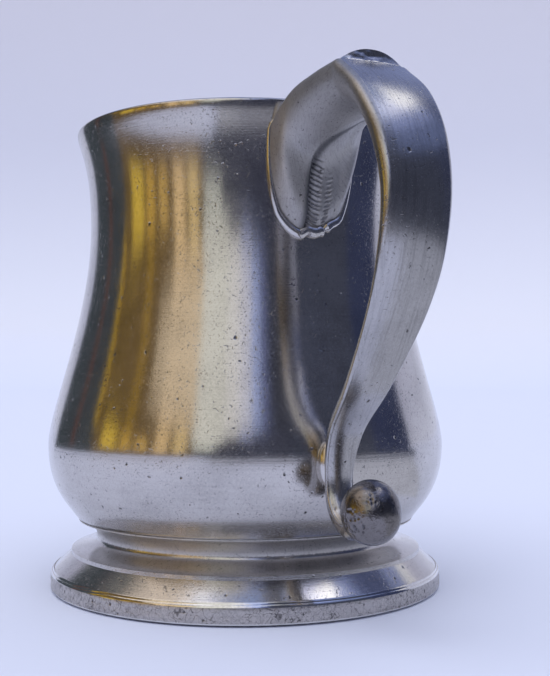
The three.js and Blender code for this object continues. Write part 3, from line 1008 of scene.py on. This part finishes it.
# Each card's name, its azimuths and elevations in degrees, its colour and strength, and where its floor part
# starts, if it has one
CARDS = (
    ("top_blue", (-180, 180), (62, 89), "#9aaee2", 1, 0),
    ("dark_surround", (-137, 105), (-2, 56), "#3f424e", 1, 600),
    ("floor_shade_1", (-18, -11), (-2, -1.9), "#b8bac6", 1, 270),
    ("floor_shade_2", (-11, -4), (-2, -1.9), "#a4a6b2", 1, 270),
    ("floor_shade_3", (-4, 32), (-2, -1.9), "#8e8f9b", 1, 270),
    ("floor_shade_4", (32, 100), (-2, -1.9), "#c4c9dd", 1, 75),
    ("dark_front", (-22, 32), (-2, 20), "#444759", 1, 420),
    ("dark_right", (24, 105), (-2, 50), "#454a5c", 1, 300),
    ("navy_right", (76, 105), (-2, 44), "#384060", 1, 380),
    ("slate_left", (-137, -95), (-2, 36), "#474f57", 1, 600),
    ("slate_left_top", (-122, -104), (36, 60), "#6e7276", 1, 0),
    ("rust_strip", (-115, -112), (-1, 40), "#6e4a40", 1, 0),
    ("gold_edge", (-98, -95), (12, 34), "#dcb43c", 1, 0),
    ("brown_left", (-95, -29), (-2, 34), "#6e5a3c", 1, 600),
    ("gold_panel_1", (-88, -77), (2, 15), "#e6c450", 1.15, 0),
    ("gold_panel_2", (-74, -67), (2, 14), "#d8b050", 1.15, 0),
    ("gold_panel_3", (-63, -56), (2, 13), "#deb868", 1.15, 0),
    ("gold_panel_4", (-51, -43), (0, 22), "#e8c894", 1.25, 0),
    ("gold_panel_5", (-40, -33), (0, 24), "#e2c68c", 1.25, 0),
    ("gold_strip", (-73, -68), (15, 32), "#a8883c", 1, 0),
    ("cream_low", (-52, -26), (19, 25), "#e2c8a4", 1, 0),
    ("cream_panel", (-62, -26), (24, 36), "#eedabc", 1.05, 0),
    ("pale_panel", (-29, -17), (4, 34), "#d6dad2", 1, 0),
    ("soft_front_left", (-30, -12), (13, 60), "#e8e9e2", 1.1, 0),
    ("soft_front_middle", (-12, -4), (17, 60), "#efeff0", 1.1, 0),
    ("soft_front_right", (-4, 3), (20, 60), "#e4e6f6", 1.05, 0),
    ("soft_front_low", (-4, 3), (15, 20), "#a0acde", 1, 0),
    ("blue_edge", (3, 9), (20, 40), "#b0c0f4", 1.05, 0),
    ("blue_shade", (9, 14), (20, 40), "#646c98", 1, 0),
    ("blue_front_top", (0, 14), (40, 62), "#c4d2ff", 1.1, 0),
    ("pale_top", (-50, -12), (40, 76), "#e4e2e4", 1.1, 0),
    ("warm_top", (-106, -50), (38, 72), "#e8dacc", 1.2, 0),
    ("white_top", (-74, -30), (58, 75), "#f2f4ff", 1.7, 0),
    ("slate_back", (-180, -140), (28, 62), "#6f7a92", 1, 0),
    ("blue_right_low", (36, 104), (36, 50), "#7886b4", 1, 0),
    ("blue_right_middle", (36, 104), (50, 60), "#a4b4ee", 1.05, 0),
    ("blue_far_right", (104, 178), (30, 80), "#93a0d0", 0.95, 0),
    ("dim_far_right", (104, 126), (38, 56), "#566088", 1, 0),
    ("softbox_right_1", (38, 60), (60, 74), "#d2dcff", 1.8, 0),
    ("softbox_right_2", (60, 86), (60, 71), "#dde2ff", 2, 0),
    ("softbox_right_3", (86, 104), (59, 69), "#ffffff", 2.6, 0),
    ("softbox_right_4", (104, 116), (58, 72), "#ffffff", 2.2, 0),
)
for order, (name, *details) in enumerate(CARDS):
    card(name, order, *details)

sun = bpy.data.lights.new("softbox", "SUN")
sun.energy = 1.2
sun.angle = math.radians(60)
sun_object = bpy.data.objects.new("softbox", sun)
sun_object.rotation_mode = "QUATERNION"
sun_object.rotation_quaternion = Vector(LAMP_WAY).to_track_quat("-Z", "Y")
sun_object.visible_glossy = False
bpy.context.scene.collection.objects.link(sun_object)

world = bpy.data.worlds.new("studio_air")
bpy.context.scene.world = world
world.use_nodes = True
backdrop_light = world.node_tree.nodes["Background"]
backdrop_light.inputs["Color"].default_value = linear("#eef0f8")
backdrop_light.inputs["Strength"].default_value = 0.98

# Camera, from the photograph's own view: a picture of 550 by 676
CAMERA_DISTANCE = 265.95
CAMERA_HEIGHT = 55.06
CAMERA_YAW = math.radians(1.649)
CAMERA_PITCH = math.radians(1.895)
FOCAL_PIXELS = 998.67
PICTURE_HEIGHT = 676
SENSOR = 36

camera_data = bpy.data.cameras.new("photo_camera")
camera_data.sensor_width = SENSOR
camera_data.lens = FOCAL_PIXELS / PICTURE_HEIGHT * SENSOR
camera_data.clip_start = 0.005
camera = bpy.data.objects.new("photo_camera", camera_data)
turn = math.radians(VIEW_AZIMUTH)
camera.location = at(CAMERA_DISTANCE * math.cos(turn), CAMERA_HEIGHT, -CAMERA_DISTANCE * math.sin(turn))
heading = math.pi - turn - CAMERA_YAW
look = Vector((math.cos(heading) * math.cos(CAMERA_PITCH), math.sin(heading) * math.cos(CAMERA_PITCH),
               math.sin(CAMERA_PITCH)))
camera.rotation_mode = "QUATERNION"
camera.rotation_quaternion = look.to_track_quat("-Z", "Y")
bpy.context.scene.collection.objects.link(camera)
bpy.context.scene.camera = camera

bpy.context.scene.view_settings.view_transform = "Standard"
